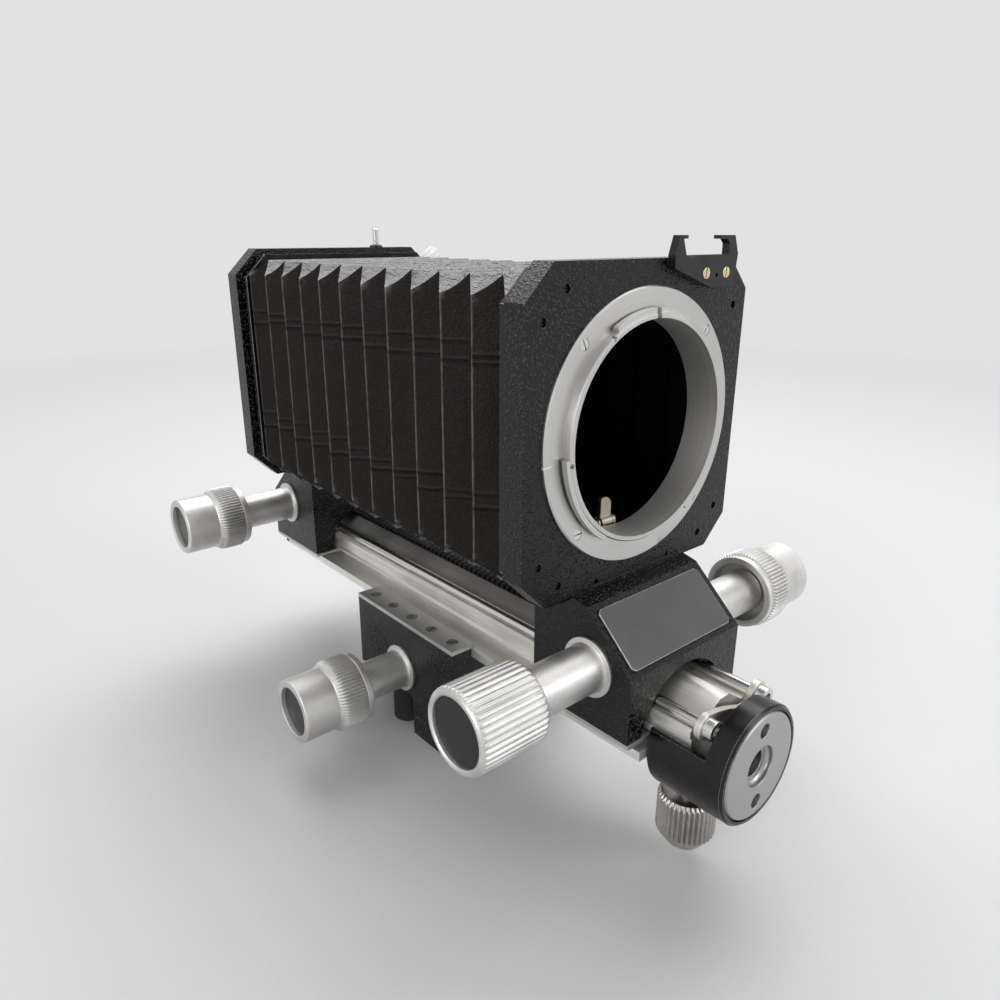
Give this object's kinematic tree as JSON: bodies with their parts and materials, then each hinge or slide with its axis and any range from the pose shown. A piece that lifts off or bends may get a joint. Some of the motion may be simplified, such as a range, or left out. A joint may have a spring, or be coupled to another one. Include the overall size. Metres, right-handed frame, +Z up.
{
  "type": "macro bellows unit",
  "caption": "Macro bellows unit: lens and camera standards on a geared rail with a folded bellows between them, on a tripod carriage with its own rack drive.",
  "frame": {"origin": "mouth of the tripod socket, on the underside of the foot", "axes": "+Z up along the socket, -Y towards the subject along the lens axis, +X to the side, right-handed"},
  "size_m": [0.118, 0.1937, 0.146],
  "materials": {
    "crackle": "black wrinkle paint",
    "satin": "bead-blasted satin, anodised",
    "rail_metal": "extruded and satin ground",
    "steel": "turned and brushed",
    "nickel": "bright nickel plate",
    "strip": "ground strip",
    "black": "black anodised, satin",
    "brass": "plain turned",
    "bronze": "plain bearing bronze",
    "plate": "dark grey satin enamel, bare",
    "cloth": "black leather-grained bellows cloth",
    "rubber": "matt"
  },
  "bodies": {
    "carriage": {"carriage_body": "crackle", "carriage_cover_strips": "strip", "cover_strip_screws": "steel", "tripod_foot": "crackle", "rear_feet": "rubber", "carriage_bushings": "satin"},
    "carriage_drive": {"carriage_drive_shaft": "steel", "carriage_drive_knob": "satin"},
    "carriage_lock": {"carriage_lock_screw": "steel", "carriage_lock_knob": "satin"},
    "rail": {"rail": "rail_metal", "upper_rack": "steel", "lower_rack": "steel", "guide_rods": "nickel", "guide_rod_screws": "nickel", "rod_strap": "nickel", "end_clamp": "black", "end_disc": "satin", "rail_end_stop": "black", "end_stop_screws": "steel"},
    "clamp": {"clamp_knob": "satin", "clamp_screw": "steel"},
    "front": {"front_standard": "crackle", "front_base_plate": "strip", "front_base_screws": "steel", "lens_mount_ring": "steel", "mount_ring_screws": "nickel", "nameplate": "plate", "index_bracket": "black", "bracket_screws": "brass", "front_bushings": "satin", "front_bellows_frame": "black", "front_frame_screws": "black", "front_guide_shoes": "bronze", "lever_bracket": "nickel", "lever_spring": "brass", "bellows_front": "cloth"},
    "front_drive": {"front_drive_shaft": "steel", "front_drive_knob": "satin"},
    "front_lock": {"front_lock_screw": "steel", "front_lock_knob": "satin"},
    "lever": {"diaphragm_lever": "nickel"},
    "rear": {"rear_standard": "crackle", "rear_base_plate": "strip", "rear_base_screws": "steel", "rear_bushings": "satin", "rear_bellows_frame": "black", "rear_frame_screws": "black", "rear_guide_shoes": "bronze", "bellows_rear": "cloth"},
    "camera_mount": {"camera_mount_carrier": "black", "camera_mount_ring": "steel", "camera_ring_screws": "nickel"},
    "mount_clamp": {"mount_clamp_screw": "satin"},
    "release_pin": {"mount_release_pin": "nickel"},
    "rear_drive": {"rear_drive_shaft": "steel", "rear_drive_knob": "satin"},
    "rear_lock": {"rear_lock_screw": "steel", "rear_lock_knob": "satin"}
  },
  "joints": [
    {"name": "rail_slide", "type": "slide", "parent": "carriage", "child": "rail", "axis": [0, 1, 0], "range_m": [-0.05, 0.05]},
    {"name": "front_slide", "type": "slide", "parent": "rail", "child": "front", "axis": [0, 1, 0], "range_m": [0, 0.054], "deforming": ["bellows_rear"]},
    {"name": "rear_slide", "type": "slide", "parent": "rail", "child": "rear", "axis": [0, -1, 0], "range_m": [0, 0.054], "deforming": ["bellows_front"]},
    {"name": "carriage_drive_turn", "type": "hinge", "parent": "carriage", "child": "carriage_drive", "pos_m": [0, 0.0155, 0.0204], "axis": [1, 0, 0], "range_deg": [-684, 684]},
    {"name": "carriage_lock_turn", "type": "hinge", "parent": "carriage", "child": "carriage_lock", "pos_m": [0, 0.0155, 0.0204], "axis": [-1, 0, 0], "range_deg": [0, 180]},
    {"name": "front_drive_turn", "type": "hinge", "parent": "front", "child": "front_drive", "pos_m": [0, -0.0569, 0.05275], "axis": [1, 0, 0], "range_deg": [-738, 0]},
    {"name": "front_lock_turn", "type": "hinge", "parent": "front", "child": "front_lock", "pos_m": [0, -0.0569, 0.05275], "axis": [1, 0, 0], "range_deg": [0, 180]},
    {"name": "rear_drive_turn", "type": "hinge", "parent": "rear", "child": "rear_drive", "pos_m": [0, 0.0897, 0.05275], "axis": [1, 0, 0], "range_deg": [0, 738]},
    {"name": "rear_lock_turn", "type": "hinge", "parent": "rear", "child": "rear_lock", "pos_m": [0, 0.0897, 0.05275], "axis": [-1, 0, 0], "range_deg": [0, 180]},
    {"name": "clamp_turn", "type": "hinge", "parent": "rail", "child": "clamp", "pos_m": [0, -0.0726, 0.0112], "axis": [0, 0, 1], "range_deg": [0, 360]},
    {"name": "lever_tilt", "type": "hinge", "parent": "front", "child": "lever", "pos_m": [-0.0026, -0.0439, 0.0796], "axis": [1, 0, 0], "range_deg": [-25, 0], "stiffness_Nm_per_rad": 0.01, "springref_deg": 5.73},
    {"name": "mount_turn", "type": "hinge", "parent": "rear", "child": "camera_mount", "pos_m": [0, 0.0833, 0.1034], "axis": [0, 1, 0], "range_deg": [0, 90]},
    {"name": "mount_clamp_turn", "type": "hinge", "parent": "rear", "child": "mount_clamp", "pos_m": [0.03042, 0.0814, 0.12938], "axis": [0.7604, 0, 0.6494], "range_deg": [0, 180]},
    {"name": "release_press", "type": "slide", "parent": "rear", "child": "release_pin", "axis": [0, 0, -1], "range_m": [0, 0.0018], "stiffness_N_per_m": 600, "springref_m": -0.0005}
  ],
  "couplings": [
    {"joint": "carriage_drive_turn", "follows": "rail_slide", "rad_per_m": -238.1},
    {"joint": "front_drive_turn", "follows": "front_slide", "rad_per_m": -238.1},
    {"joint": "rear_drive_turn", "follows": "rear_slide", "rad_per_m": 238.1}
  ]
}
